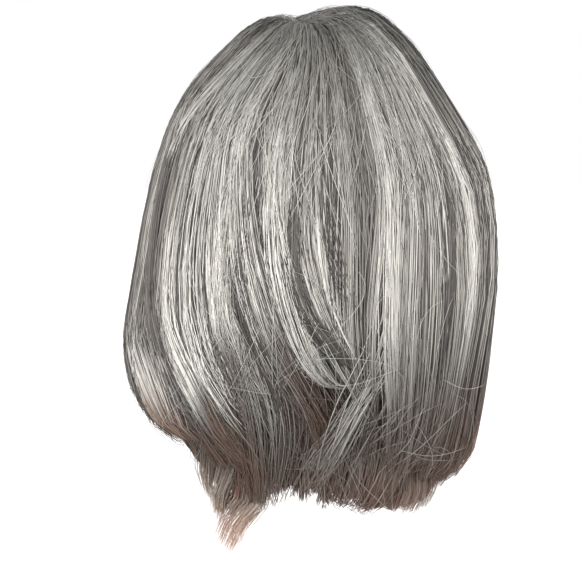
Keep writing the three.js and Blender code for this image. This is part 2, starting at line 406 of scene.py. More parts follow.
def map_place(tree):
    where = tree.nodes.new("ShaderNodeUVMap")
    where.uv_map = BAKE_MAP
    return where.outputs["UV"]


def axes_of(tree, vector):
    return add_node(tree, "SeparateXYZ", {"Vector": vector}).outputs


def scaled(tree, vector, scale):
    return add_node(tree, "Mapping", {"Vector": vector, "Scale": scale}).outputs["Vector"]


def bumped(tree, shader, height, strength, distance):
    """Makes the surface look raised by a height from 0 to 1, over a distance in metres."""
    bump = add_node(tree, "Bump", {"Height": height, "Strength": strength, "Distance": distance})
    tree.links.new(bump.outputs["Normal"], shader.inputs["Normal"])


TONES = [
    (0.0, srgb(82, 78, 75)),
    (0.25, srgb(127, 122, 117)),
    (0.5, srgb(172, 168, 161)),
    (0.75, srgb(208, 205, 198)),
    (1.0, srgb(236, 234, 228)),
]
BROWN = srgb(196, 148, 118)
HEM_BROWN = srgb(120, 80, 60)
ASH_BROWN = srgb(106, 79, 64)
EDGE_BROWN = srgb(130, 98, 79)
FIBRE_GLOSS = dict(roughness=0.42, specular=0.45)
# Each fibre's slot, its brightness by place in the shading, how far it has turned to its end's colour
# there, and that colour.
FIBRES = {
    # The silver fibre: dark at the roots, a painted highlight band at mid height, then darker low down,
    # partly painted shade and partly darker hair that turns brown.
    "crown": dict(
        name="silver_fibre", slot="hair_silver", end=ASH_BROWN,
        shading=[(0, 0.24), (0.16, 0.29), (0.3, 0.47), (0.44, 0.8), (0.58, 1.02), (0.66, 0.93),
                 (0.72, 0.63), (0.78, 0.43), (0.84, 0.33), (1, 0.26)],
        turning=[(0.72, 0), (0.84, 0.42), (0.92, 0.66), (1, 0.75)],
    ),
    "middle": dict(
        name="ash_fibre", slot="hair_ash", end=ASH_BROWN,
        shading=[(0, 0.38), (0.5, 0.54), (1, 0.48)],
        turning=[(0.3, 0.2), (0.7, 0.58), (0.92, 0.95)],
    ),
    "nape": dict(
        name="brown_fibre", slot="hair_brown", end=HEM_BROWN,
        shading=[(0, 0.25), (0.6, 0.36), (1, 0.45)],
        turning=[(0.5, 0.28), (0.75, 0.6), (0.93, 0.98)],
    ),
    "tail": dict(
        name="tail_fibre", slot="hair_brown", end=BROWN,
        shading=[(0, 0.3), (0.6, 0.54), (0.8, 0.74), (1, 1.05)],
        turning=[(0.55, 0.08), (0.76, 0.22), (0.88, 0.56), (1, 0.85)],
    ),
    # The edge fibre passes a painted highlight at full brightness, then darkens and turns brown at its ends.
    "edge": dict(
        name="edge_fibre", slot="hair_brown", end=EDGE_BROWN,
        shading=[(0, 0.3), (0.38, 0.36), (0.45, 0.55), (0.52, 1.05), (0.62, 1.05), (0.72, 0.58),
                 (0.82, 0.42), (1, 0.36)],
        turning=[(0.46, 0.05), (0.6, 0.2), (0.74, 0.55), (1, 0.8)],
    ),
}
BODY_GLOSS = dict(roughness=0.6, specular=0.3)
BODY_COLOURS = {
    "crown": dict(name="silver_under", dark=srgb(88, 84, 80), light=srgb(154, 150, 143)),
    "middle": dict(name="ash_under", dark=srgb(52, 48, 46), light=srgb(104, 98, 93)),
    "nape": dict(name="brown_under", dark=srgb(58, 51, 47), light=srgb(112, 100, 92)),
}
# How far the streaks' noise is scaled across and along a body, and where it is dark and light.
STREAKS = (420, 5, 1)
STREAK_DETAIL = 4.0
STREAK_ENDS = (0.35, 0.7)
STREAK_BUMP = dict(strength=0.6, distance=0.0006)


def strand_material(fibre):
    """Hair fibre: a tone for each strand, shaded down its length and turning colour at its end."""
    material, tree, shader = new_material(fibre["name"], **FIBRE_GLOSS)
    axes = axes_of(tree, map_place(tree))
    colour = ramp(tree, axes["X"], TONES)
    colour = mixed(tree, "MULTIPLY", 1.0, colour, grey_ramp(tree, axes["Y"], fibre["shading"]))
    colour = mixed(tree, "MIX", grey_ramp(tree, axes["Y"], fibre["turning"]), colour, fibre["end"])
    tree.links.new(colour, shader.inputs["Base Color"])
    return material


def body_material(name, dark, light):
    """The dense hair under the surface strands, streaked along its length."""
    material, tree, shader = new_material(name, **BODY_GLOSS)
    where = scaled(tree, map_place(tree), STREAKS)
    noise = add_node(tree, "TexNoise", {"Vector": where, "Scale": 1.0, "Detail": STREAK_DETAIL})
    streaks = noise.outputs["Fac"]
    colour = ramp(tree, streaks, list(zip(STREAK_ENDS, (dark, light))))
    tree.links.new(colour, shader.inputs["Base Color"])
    bumped(tree, shader, streaks, **STREAK_BUMP)
    return material


MATERIALS = {key: strand_material(fibre) for key, fibre in FIBRES.items()}
BODY_MATERIALS = {key: body_material(**colours) for key, colours in BODY_COLOURS.items()}


# Hair pieces

PIECES = [
    dict(name="crown_hair", tier="crown", start=FRONT_LEFT, end=FRONT_RIGHT, strands=5800, wisps=90),
    dict(name="left_weft", tier="middle", start=-44, end=19.5, strands=560, wisps=15),
    dict(name="back_weft", tier="middle", start=20.5, end=159.5, strands=1520, wisps=34),
    dict(name="right_weft", tier="middle", start=160.5, end=224, strands=560, wisps=15),
    dict(name="left_lower_weft", tier="nape", start=-42, end=19.5, strands=420, wisps=14),
    dict(name="nape_weft", tier="nape", start=20.5, end=159.5, strands=1440, wisps=32),
    dict(name="right_lower_weft", tier="nape", start=160.5, end=222, strands=420, wisps=14),
]
# How far across its tier's band a piece's strands lie, and the strands on the inner face of the nape.
FILL = (0.3, 0.96)
NAPE_INNER = dict(
    name="nape_inner", tier="nape", start=-40, end=220, strands=210, wisps=60, fill=(-0.2, 0.02)
)
# The dense body inside each tier: how far in its sides are at its root and its hem, in degrees, and by
# how many levels it is shorter than the strands.
BODIES = {
    "crown": dict(inset=(7, 14), short=1.5),
    "middle": dict(inset=(4, 12), short=0.7),
    "nape": dict(inset=(3, 10), short=0.3),
}
# Round the sides the crown hair is evener in length: spans of angles over which the sides begin.
LEFT_SIDE = (10, 34)
RIGHT_SIDE = (132, 156)


def at_sides(angle):
    """1 round the sides of the crown hair, 0 over its back."""
    return np.maximum(falling(angle, *LEFT_SIDE), rising(angle, *RIGHT_SIDE))


def hair_body(
    piece, rng, rows=18, lean=1.2, step=2, ragged=0.35, side_short=0.55, depths=(0.3, 0.5), deep_by=0.12,
    thins_from=0.55, hem=0.1, map_share=0.49, inner_map=0.51,
):
    """The dense hair inside a tier: one curtain that thins out to a ragged hem, inside its strands.

    depths are its thickness at its root and below it, as shares of the tier's band, and hem is what the
    end keeps of that. The outer face has the map's first part, and the inner one the part from inner_map.
    """
    tier = TIERS[piece["tier"]]
    form = BODIES[piece["tier"]]
    across = int((piece["end"] - piece["start"]) / step) + 1
    along = np.linspace(0, 1, rows)[:, None] ** lean
    inset = mix(*form["inset"], along)
    hang = mix(piece["start"] + inset, piece["end"] - inset, np.linspace(0, 1, across))
    short = form["short"] * mix(1, side_short, at_sides(hang[-1]))
    tip = rows_at_angle(tier["fall"], hang[-1])["tip"] - short - ragged * rng.random(across)
    level = mix(tier["root"], tip, along)
    low, high = tier_band(tier, level)
    depth = mix(*depths, rising(along, 0, deep_by))
    depth = depth * mix(1, hem, rising(along, thins_from, 1))
    angle = swept_angle(tier, hang, level)
    outside = between_forms(level, angle, low + (high - low) * depth)
    inside = between_forms(level, angle, low)
    points = np.concatenate([outside, inside]).reshape(-1, 3)
    grid = np.arange(level.size).reshape(level.shape)
    back = grid + grid.size
    faces = np.concatenate(
        [
            grid_quads(grid),
            grid_quads(back)[:, TURNED],
            rim_quads(grid[0], back[0]),
            rim_quads(back[-1], grid[-1]),
            rim_quads(back[:, 0], grid[:, 0]),
            rim_quads(grid[:, -1], back[:, -1]),
        ]
    )
    u = np.broadcast_to(np.linspace(0, 1, across), level.shape)
    v = np.broadcast_to(along * map_share, level.shape)
    uv = np.stack([np.concatenate([u, u]), np.concatenate([v, v + inner_map])], -1).reshape(-1, 2)
    material = BODY_MATERIALS[piece["tier"]]
    body = mesh_piece(piece["name"] + "_body", points, [faces], uv, material)
    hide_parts(piece["name"])


# How the strands of each tier lie. cling is how far a wisp draws together, spread how much the lengths
# differ, fade how early strands end, curl how far the ends turn in, stray how far they cross, longer how
# far they go past the tier's own tips, and fine how thin a tip is. lean above 1 puts more stations there.
LIE = {
    "crown": dict(
        stations=14, lean=1, cling=0.34, spread=0.22, fade=0.55, curl=0.35, stray=3, longer=0.15, fine=0.3
    ),
    "middle": dict(
        stations=11, lean=1.4, cling=0.25, spread=0.06, fade=0.12, curl=0.7, stray=2.8, longer=0.3, fine=0.6
    ),
    "nape": dict(
        stations=10, lean=1.4, cling=0.15, spread=0.035, fade=0.1, curl=0.8, stray=2.8, longer=0.08, fine=0.4
    ),
}
# At its sides the crown hair's lengths differ less. Past its left side it is longer.
SIDE_SPREAD = 0.4
SIDE_FADE = 0.15
LONGER_SPAN = (34, 58)
# Light and dark streaks of the crown hair, by the angle at which it hangs. Its darker sides are painted
# shade where light grazes them.
CROWN_TONES_AND_SHADE = columns(
    "hang tone",
    [(-46, 0), (-14, -0.1), (8, -0.6), (28, -0.6), (36, -0.14), (43, 0.08), (50, 0.04), (58, 0.06),
     (68, -0.22), (77, 0.16), (86, -0.06), (91, 0.03), (97, -0.08), (104, -0.18), (112, -0.09),
     (119, -0.12), (128, 0.08), (135, -0.16), (143, -0.06), (152, -0.14), (162, -0.14), (182, -0.2),
     (198, -0.04), (226, 0)],
)
# The middle tier is in the shade under the sweep of the crown hair.
MIDDLE_TONES = columns("hang tone", [(-44, 0), (56, 0), (72, -0.36), (104, -0.36), (118, 0), (224, 0)])
TIER_TONES_AND_SHADE = {"crown": CROWN_TONES_AND_SHADE, "middle": MIDDLE_TONES}
# Some of the strands are dark and the rest light, and strands deep in their tier are darker: painted shade.
STRAND_TONES = dict(dark_share=0.32, dark=0.04, light=0.76, scatter=0.16)
PAINTED_DEPTH_SHADE = 0.4
WISP_TONE = 0.19
WISP_LIFT = 0.1
WISP_DRIFT = 1.2
WISP_LIFTED_BY = 0.4
# Random waves: turns over a strand's length, and their size in degrees or as a share of the way out.
WISP_WAVE = dict(turns=(0.5, 1.3), size=1.1)
STRAND_WAVE = dict(turns=(0.5, 1.4), size=0.45)
DEPTH_WAVE = dict(turns=(0.5, 1.4), size=0.008)
STRAND_RADIUS = 0.25
RADIUS_RANGE = (0.75, 1.25)
# Roots are scattered over some of a level and lie deeper in their band at first. The part is scattered
# in millimetres, down to a level. No strand of a tier lies further out than a share of the way.
ROOT_SCATTER = 0.12
ROOT_FILL = 0.8
ROOT_FILL_LEVELS = 0.5
PART_WIDTH = 2.4
PART_LEVELS = 0.7
OUTERMOST = 1.02
# The last part of a strand rolls under, as a share of its length, and rises by some of a level.
ROLL_FROM = 0.84
ROLL_RISE = 0.16
# The nape hair is longest at the right of the back: at which angle, over how many degrees, by how much.
CORNER_HANG = 150
CORNER_SPREAD = 10
CORNER_LONGER = 0.2
# The nape hair beside the tail is drawn to the left with it, in millimetres: spans of angles and levels.
TAIL_DRAW = 13
TAIL_DRAW_IN = 15
TAIL_DRAW_OUT = (56, 76)
TAIL_DRAW_LEVELS = (7.2, 9.2)
# The silver fibre's shading runs down the head. Roots are lighter away from the back and in two bands.
# The patches shift it: the left stays in the painted highlight further down, the upper right stays dark
# further down, painted shade where light grazes that edge, and a hollow has painted shade from the locks
# beside it. Spans of angles and levels say where a patch comes and goes.
SILVER_LEVELS = 8.3
DARK_ROOTS = dict(angle_in=(20, 40), angle_out=(112, 132))
LIGHT_ROOTS = 0.04
LIGHT_ROOT_LEVELS = 4
LIGHT_BANDS = (30, 141)
LIGHT_BAND_WIDTH = 7
LIGHT_BAND_SHIFT = 0.075
LIGHT_BAND_PATCH = dict(level_in=(0.6, 1.8), level_out=(3, 4.5))
SHADE_PATCHES = [
    (-0.14, dict(angle_out=(48, 68), level_in=(4.5, 6.1), level_out=(6.3, 7))),
    (-0.12, dict(angle_in=(148, 162), level_out=(2.5, 4.5))),
    (0.13, dict(angle_in=(50, 60), angle_out=(65, 75), level_in=(5.2, 6))),
]


def soft_wave(hang, level, size=1.7, length=4.5, step=3, spread=23, settles=(1, 4)):
    """A slow wave of the whole head of hair, in degrees, out of step from place to place."""
    phase = step * np.sin(hang / spread)
    return size * np.sin(2 * np.pi * level / length + phase) * rising(level, *settles)


def stations_along(count):
    return np.linspace(0, 1, count)[None, :]


def station_places(rng, count, stations, lean, stagger=0.45):
    """Places along each strand, staggered from strand to strand."""
    even = stations_along(stations)
    inside = np.where((even > 0) & (even < 1), 1 / (stations - 1), 0)
    places = even + rng.uniform(-stagger, stagger, (count, 1)) * inside
    return 1 - (1 - places) ** lean


def waves(rng, group, along, turns, size, full_by=0.3):
    """Gentle random waves, the same for the strands of a group and nothing at the root."""
    groups = group.max() + 1
    phase = rng.uniform(0, 2 * np.pi, groups)[group][:, None]
    rate = rng.uniform(*turns, groups)[group][:, None]
    height = rng.normal(0, size, groups)[group][:, None]
    wave = np.sin(2 * np.pi * rate * along + phase) - np.sin(phase)
    return height * wave * rising(along, 0, full_by)


def radii_along(rng, count, along, radius=STRAND_RADIUS, tip=0.25, root=0.6, root_by=0.1, tip_from=0.75):
    """Half thickness of each strand down its length: full in the middle and fine at the tip."""
    body = radius * rng.uniform(*RADIUS_RANGE, (count, 1))
    return body * mix(root, 1, rising(along, 0, root_by)) * mix(1, tip, rising(along, tip_from, 1))


def uneven_tones(rng, count, dark_share, dark, light, scatter):
    """A tone for each strand: a share of them dark and the rest light, scattered."""
    tones = np.where(rng.random(count) < dark_share, dark, light)
    return tones + rng.normal(0, scatter, count)


def wisps_of(piece, rng, hang, widths=(0.4, 1.6), blur=1.3):
    """Which wisp each strand is in, and the wisps' middles. Wisps differ in width."""
    edges = np.cumsum(rng.uniform(*widths, piece["wisps"]))
    edges = mix(piece["start"], piece["end"], np.concatenate([[0], edges / edges[-1]]))
    near = hang + rng.normal(0, blur, len(hang))
    index = np.clip(np.searchsorted(edges, near) - 1, 0, piece["wisps"] - 1)
    return index, (edges[index] + edges[index + 1]) / 2


def in_patch(level, angle, angle_in=None, angle_out=None, level_in=None, level_out=None):
    """1 inside a patch of the hair and 0 outside it, smooth over the spans at its edges."""
    inside = 1
    for value, opens, closes in ((angle, angle_in, angle_out), (level, level_in, level_out)):
        if opens:
            inside = inside * rising(value, *opens)
        if closes:
            inside = inside * falling(value, *closes)
    return inside


def level_shade(level, angle):
    """Place in the silver fibre's shading: by height, with patches of painted highlight and shade."""
    lighter = LIGHT_ROOTS * (1 - in_patch(level, angle, **DARK_ROOTS))
    bands = sum(np.exp(-(((angle - middle) / LIGHT_BAND_WIDTH) ** 2)) for middle in LIGHT_BANDS)
    bands = bands * in_patch(level, angle, **LIGHT_BAND_PATCH)
    shade = mix(level / SILVER_LEVELS, 1, lighter * falling(level, 0, LIGHT_ROOT_LEVELS))
    shifts = sum(shift * in_patch(level, angle, **patch) for shift, patch in SHADE_PATCHES)
    return shade + LIGHT_BAND_SHIFT * bands + shifts


def grow(piece, rng):
    """The strands of a piece, drawn together a little into wisps."""
    tier = TIERS[piece["tier"]]
    lie = LIE[piece["tier"]]
    crown = piece["tier"] == "crown"
    count = piece["strands"]
    each = np.arange(count)
    hang = mix(piece["start"], piece["end"], (each + rng.random(count)) / count)
    wisp, middle = wisps_of(piece, rng, hang)
    wisps = piece["wisps"]
    wisp_tone = rng.normal(0, WISP_TONE, wisps)[wisp]
    wisp_length = rng.normal(0, lie["spread"], wisps)[wisp]
    wisp_lift = rng.normal(0, WISP_LIFT, wisps)[wisp]
    wisp_drift = rng.normal(0, WISP_DRIFT, wisps)[wisp]

    along = station_places(rng, count, lie["stations"], lie["lean"])
    sides = at_sides(hang) if crown else np.zeros(count)
    spread = mix(1, SIDE_SPREAD, sides)
    tip = rows_at_angle(tier["fall"], hang)["tip"]
    tip = tip + wisp_length * spread + rng.normal(0, lie["spread"], count) * spread
    tip = tip - mix(lie["fade"], SIDE_FADE, sides) * np.abs(rng.normal(0, 1, count))
    tip = tip + lie["longer"] * (rising(hang, *LONGER_SPAN) if crown else 1)
    if piece["tier"] == "nape":
        tip = tip + CORNER_LONGER * np.exp(-(((hang - CORNER_HANG) / CORNER_SPREAD) ** 2))
    root = tier["root"] + rng.uniform(0, ROOT_SCATTER, count)
    bend = rising(along, ROLL_FROM, 1)
    lowest = (ROLL_FROM + 1) / 2
    level = mix(root[:, None], tip[:, None], np.minimum(along / lowest, 1)) - ROLL_RISE * bend

    drift = wisp_drift + rng.normal(0, 1, count) * rng.random(count) ** 2 * lie["stray"]
    drawn = (
        middle[:, None]
        + (hang - middle)[:, None] * (1 - lie["cling"] * ease(along))
        + drift[:, None] * along**2
        + waves(rng, wisp, along, **WISP_WAVE)
        + waves(rng, each, along, **STRAND_WAVE)
    )
    low, high = tier_band(tier, level)
    depth = np.sqrt(rng.random(count))[:, None]
    fill = mix(*piece.get("fill", FILL), depth) + wisp_lift[:, None] * rising(along, 0, WISP_LIFTED_BY)
    fill = fill * mix(ROOT_FILL, 1, rising(level, tier["root"], tier["root"] + ROOT_FILL_LEVELS))
    share = (low + (high - low) * fill) * (1 - lie["curl"] * bend)
    share = share + waves(rng, each, along, **DEPTH_WAVE)
    angle = swept_angle(tier, drawn, level) + soft_wave(drawn, level)
    if crown:
        angle = angle + fanned_angle(drawn, level)
    paths = between_forms(level, angle, np.minimum(share, OUTERMOST))
    shade = along
    if crown:
        paths[..., 0] += rng.normal(0, PART_WIDTH, (count, 1)) * falling(level, 0, PART_LEVELS)
        shade = level_shade(level, hang[:, None])
    if piece["name"] == "nape_weft":
        beside = falling(hang, *TAIL_DRAW_OUT) * rising(hang, piece["start"], piece["start"] + TAIL_DRAW_IN)
        paths[..., 0] += TAIL_DRAW * beside[:, None] * rising(level, *TAIL_DRAW_LEVELS)
    # Strands deep in their tier get darker tones: painted shade between the strands.
    tone = uneven_tones(rng, count, **STRAND_TONES) + wisp_tone - PAINTED_DEPTH_SHADE * (1 - depth[:, 0])
    # The tier's bands: streaks, with painted shade on the crown's sides and on the middle tier under the
    # crown.
    if piece["tier"] in TIER_TONES_AND_SHADE:
        bands = TIER_TONES_AND_SHADE[piece["tier"]]
        tone = tone + np.interp(hang, bands["hang"], bands["tone"])
    radii = radii_along(rng, count, along, tip=lie["fine"])
    return dict(paths=paths, radii=radii, tone=tone, shade=shade, hang=hang)


# Locks that stand out: the number of strands, their tone, half the width in degrees, the share of the way
# to the outer form, how deep the lock goes from there, how much the lengths differ, how many times as wide
# the end is as the middle, and the path as (level, angle).
LIGHT_LOCKS = [
    (90, 0.88, 5.5, 1.01, 0.16, 0.7, 0.7,
     [(0.1, 88), (2, 79), (3.6, 76), (4.8, 78), (5.5, 83), (5.95, 88), (6.2, 94), (6.24, 102)]),
    (80, 0.86, 5, 1, 0.2, 0.9, 0.8,
     [(0.1, 82), (2, 68), (3.6, 61), (4.8, 59.5), (5.5, 61), (5.9, 66), (6.4, 71), (6.9, 77)]),
    (60, 0.8, 4, 0.99, 0.2, 0.9, 0.8,
     [(0.1, 96), (2.5, 91), (4.2, 88), (5, 90), (5.5, 95), (5.9, 101), (6.2, 107)]),
    (60, 0.7, 4, 1.01, 0.12, 1.2, 1,
     [(0.5, 138), (1.2, 133), (1.7, 135), (2.35, 139), (2.8, 142), (3.45, 143), (4.6, 143)]),
    (60, 0.84, 5.5, 1.015, 0.08, 1.6, 1.4,
     [(0.4, 62), (1.2, 54), (1.8, 47), (2.3, 41), (2.8, 35), (3.3, 28.5), (4, 24), (5.2, 22)]),
    (125, 0.88, 6.2, 1.01, 0.16, 0.8, 1.1,
     [(2.4, 42), (4.4, 38.5), (5.3, 41), (5.8, 47.5), (6.1, 52), (6.5, 56.5), (7, 61), (7.4, 66)]),
    (40, 0.86, 3.5, 0.99, 0.2, 0.6, 0.8,
     [(0.2, 118), (2.2, 112), (3.6, 112), (4.6, 113), (5.6, 114), (6.4, 112)]),
]
# Dark strands laid in the gaps beside and under the light locks: painted shade.
PAINTED_SHADE_LOCKS = [
    (76, 0.08, 4.2, 1.028, 0.08, 0.7, 1,
     [(2.6, 22), (4, 24), (4.8, 27), (5.3, 31), (5.85, 39), (6.2, 43)]),
    (60, 0.08, 4, 1.014, 0.08, 1, 1.3,
     [(2.6, 69), (4.2, 67.5), (5.2, 68.5), (5.6, 72), (6, 77), (6.5, 82), (6.9, 86)]),
    (70, 0.06, 3.6, 1.016, 0.07, 0.6, 1.5,
     [(3, 84), (4.6, 83.5), (5.3, 87), (5.6, 92), (5.9, 98), (6.15, 104)]),
    (36, 0.08, 2.6, 1.014, 0.07, 0.9, 1.6,
     [(1.8, 93), (3.4, 92.5), (4.2, 93), (4.8, 95.5), (5.2, 98.5), (5.7, 103)]),
    (40, 0.1, 2.5, 1.012, 0.07, 1, 1.2,
     [(2.6, 137), (4.2, 135), (5.1, 133), (6, 132), (6.8, 131)]),
]
CROSS_LOCK = (
    54, 0.6, 1.7, 0.98, 0.1, 0.9, 4,
    [(3.4, 112), (4.6, 113), (5.5, 113), (6, 110), (6.4, 105), (6.9, 98.5), (7.4, 93), (7.9, 87)],
)
# Hair that falls straight from the sweep at the left into the tail.
FALL_LOCK = (
    130, 0.46, 11, 1.01, 0.14, 0.7, 0.85,
    [(5.5, 67), (5.9, 69.5), (6.4, 72.5), (6.9, 73), (7.4, 71), (7.9, 67.5), (8.3, 64)],
)
# The outermost locks, whose fibre passes a painted highlight and whose ends turn brown, where in their
# fibre's shading they start, and how unevenly.
EDGE_LOCKS = [
    (170, 0.86, 13, 1.01, 0.16, 0.8, 0.8,
     [(2.2, 10), (4.2, 9), (5.5, 15), (6, 23), (6.4, 28), (6.75, 31), (6.95, 33), (7.12, 37)]),
    (90, 0.62, 6, 1.02, 0.12, 0.5, 1.2,
     [(3.6, 186), (5, 182), (5.8, 177), (6.3, 173), (6.8, 171), (7.2, 169), (7.6, 165), (8, 160)]),
]
EDGE_STARTS = (0, 0.38)
EDGE_SCATTER = 0.05
PATH_COLUMNS = "level angle"
LOCK_STATIONS = 12
# A lock's strands bunch at its middle and its longest reach its end. It is slimmer at its ends than
# between them, lower at its sides and deeper near the whorl, and both ends go into the hair.
LOCK_REACH = 1.02
LOCK_BUNCH = 0.62
LOCK_TURNS = (0.6, 1.8)
LOCK_WAIST = 0.75
LOCK_ROUND = 0.05
WHORL_SHARE = 0.9
WHORL_LEVELS = (0.1, 2.1)
EMERGE = 0.12
EMERGED_BY = 0.15
DIVES_FROM = 0.8
LOCK_DARK_SHARE = 0.14
LOCK_DARK = 0.3
LOCK_SCATTER = 0.12
# How much lower or higher than they lie the locks' shading is taken.
DARK_SHADE = 0.02
CROSS_SHADE = -0.11
FALL_SHADE = -0.07


def grow_lock(rng, count, tone, half, lift, thick, ends, fan, path, shade=0, loose=0.6, sink=0):
    """The strands of a lock. loose is how far they wave, in degrees, and sink how far in its end lies."""
    table = columns(PATH_COLUMNS, path)
    along = stations_along(LOCK_STATIONS)
    reach = LOCK_REACH - ends / table["level"][-1] * np.abs(rng.normal(0, 1, (count, 1)))
    row = rows_at(table, np.clip(along * reach, 0, 1) * (len(path) - 1))
    side = rng.normal(0, LOCK_BUNCH, (count, 1))
    width = half * mix(LOCK_WAIST, 1, np.sin(np.pi * along)) * mix(1, fan, along**2)
    level = row["level"]
    angle = row["angle"] + side * width + waves(rng, np.arange(count), along, LOCK_TURNS, loose)
    depth = rng.random((count, 1)) ** 2
    share = mix(WHORL_SHARE, lift, rising(level, *WHORL_LEVELS))
    share = share - thick * depth - LOCK_ROUND * side**2 - sink * along**3
    share = share * (1 - EMERGE * falling(along, 0, EMERGED_BY))
    share = share * (1 - EMERGE * rising(along, DIVES_FROM, 1))
    return dict(
        paths=between_forms(level, angle, share),
        tone=uneven_tones(rng, count, LOCK_DARK_SHARE, tone * LOCK_DARK, tone, LOCK_SCATTER),
        radii=radii_along(rng, count, along),
        shade=level_shade(level, angle) + shade,
    )


# The long locks of the nape: strands, where each hangs, half its width in degrees, the level of its tip,
# how much the lengths differ, how much of its width its end keeps, its tone, from where and how far it is
# lifted, as a share of the way out, and from where and how far it is flicked to the left, in millimetres.
# The first three make the tail, the last the hem's corner on the right.
TAIL_LOCKS = [
    (130, 27, 7, 8.7, 0.5, 0.75, 0.5, 0.62, 0.45, 0.62, 5),
    (170, 39.5, 8, 8.98, 0.4, 0.75, 0.6, 0.7, 0.5, 0.7, 9),
    (240, 52, 9.5, 9.6, 0.42, 0.9, 0.72, 0.64, 0.42, 0.78, 16),
    (200, 138, 12, 8.66, 0.25, 0.75, 0.18, 0.5, 0.56, 0.5, -5),
]
TAIL_ROOT = 4.1
TAIL_LOWEST = 9.6
# How far the roots lean round from the end, in degrees, and how much shorter the sides' strands are.
TAIL_LEAN = 10
TAIL_ROUND = 0.5
TAIL_WAVE = dict(turns=(0.6, 1.6), size=0.7)
TAIL_FILL = (0.2, 1)
TAIL_FLICKS = (0.75, 1.1)
TAIL_DARK_SHARE = 0.25
TAIL_DARK = 0.2
TAIL_SCATTER = 0.14


def grow_tail(rng, count, hang, half, tip, fray, kept, tone, lift_from, lift, flick_from, flick):
    """The strands of one long lock, which all but keep together to a blunt frayed end."""
    tier = TIERS["nape"]
    along = stations_along(LOCK_STATIONS)
    side = rng.uniform(-1, 1, (count, 1))
    ends = tip - fray * (rng.random((count, 1)) + TAIL_ROUND * side**2)
    level = mix(TAIL_ROOT, ends, along)
    flicked = rising(along, flick_from, 1)
    drawn = hang + TAIL_LEAN * (1 - along**2) + side * half * mix(1, kept, flicked)
    drawn = drawn + waves(rng, np.arange(count), along, **TAIL_WAVE)
    low, high = tier_band(tier, level)
    share = low + (high - low) * mix(*TAIL_FILL, rng.random((count, 1)))
    share = share + lift * rising(along, lift_from, 1)
    paths = between_forms(level, swept_angle(tier, drawn, level), share)
    paths[..., 0] += flick * flicked * rng.uniform(*TAIL_FLICKS, (count, 1))
    return dict(
        paths=paths,
        tone=uneven_tones(rng, count, TAIL_DARK_SHARE, TAIL_DARK, tone, TAIL_SCATTER),
        radii=radii_along(rng, count, along),
        shade=(level - TAIL_ROOT) / (TAIL_LOWEST - TAIL_ROOT),
    )


# Long single hairs that stand out, as paths of (level, angle).
STRAY_HAIRS = [
    [(6.86, 67), (6.8, 74), (6.56, 80), (6.26, 84)],
    [(6.9, 74), (7.05, 79), (7.18, 85)],
    [(6.17, 95), (6.17, 102), (6.07, 110), (6, 116)],
    [(7, 101), (7.64, 107), (8.05, 115), (8.4, 123)],
    [(7.13, 119), (7.3, 132), (7.32, 152)],
    [(6.2, 132), (6.38, 144), (6.43, 161)],
    [(6.5, 104), (6.8, 96), (7.2, 92), (7.7, 94)],
    [(7, 62), (7.3, 70), (7.45, 80), (7.4, 90)],
    [(2.25, 45), (2.45, 57), (2.3, 67)],
    [(3.3, 148), (3.75, 154), (4.2, 170)],
]
FLYAWAY_STATIONS = 11
FLYAWAY_RADIUS = 0.12
FUZZ_STATIONS = 8


def surface_share(level, angle, below=0.62, span=(-0.4, 0.5)):
    """How far out the hair's surface lies: the crown hair's, then the tiers' below its ends."""
    past = level - rows_at_angle(CROWN_FALL, angle)["tip"]
    return mix(1, below, rising(past, *span))


def single_hairs(rng, along, paths, radius, tones, shade):
    """Hairs along paths, of one thickness and of tones drawn from a range."""
    count = len(paths)
    radii = radii_along(rng, count, along, radius)
    return dict(paths=paths, radii=radii, tone=rng.uniform(*tones, count), shade=shade)


def grow_flyaways(
    rng, count=120, falls=(0.5, 1.9), turns=14, bows=0.4, steeper=1.4, lowest=8.5,
    base=0.015, arched=0.05, outermost=1.05, tones=(0.55, 0.98), shades=(0.4, 0.75),
):
    """Single fine hairs that curve across the rest, most of them low down at the back."""
    each = (count, 1)
    along = stations_along(FLYAWAY_STATIONS)
    arch = np.sin(np.pi * along)
    start = rng.triangular(left=4.6, mode=6.6, right=7.7, size=each)
    middle = rng.triangular(left=28, mode=100, right=160, size=each)
    fall = rng.uniform(*falls, each)
    turn = rng.normal(0, turns, each)
    bow = rng.normal(0, bows, each) * turn
    sag = rng.normal(loc=0.05, scale=0.12, size=each) * fall
    level = np.minimum(start + fall * along**steeper + sag * arch, lowest)
    angle = middle + turn * along + bow * arch
    share = surface_share(level, angle) + base + arched * rng.random(each) * arch
    paths = between_forms(level, angle, np.minimum(share, outermost))
    shade = np.clip(level / SILVER_LEVELS, *shades)
    return single_hairs(rng, along, paths, FLYAWAY_RADIUS, tones, shade)


def grow_stray(rng, lift=0.03, outermost=1.04, tone=0.85, shades=(0.45, 0.7)):
    """The long single hairs, one strand along each path."""
    along = stations_along(FLYAWAY_STATIONS)
    rows = [rows_at(columns(PATH_COLUMNS, hair), along[0] * (len(hair) - 1)) for hair in STRAY_HAIRS]
    level = np.array([row["level"] for row in rows])
    angle = np.array([row["angle"] for row in rows])
    share = np.minimum(surface_share(level, angle) + lift, outermost)
    return dict(
        paths=between_forms(level, angle, share),
        radii=radii_along(rng, len(rows), along, FLYAWAY_RADIUS),
        tone=np.full(len(rows), tone),
        shade=np.clip(level / SILVER_LEVELS, *shades),
    )


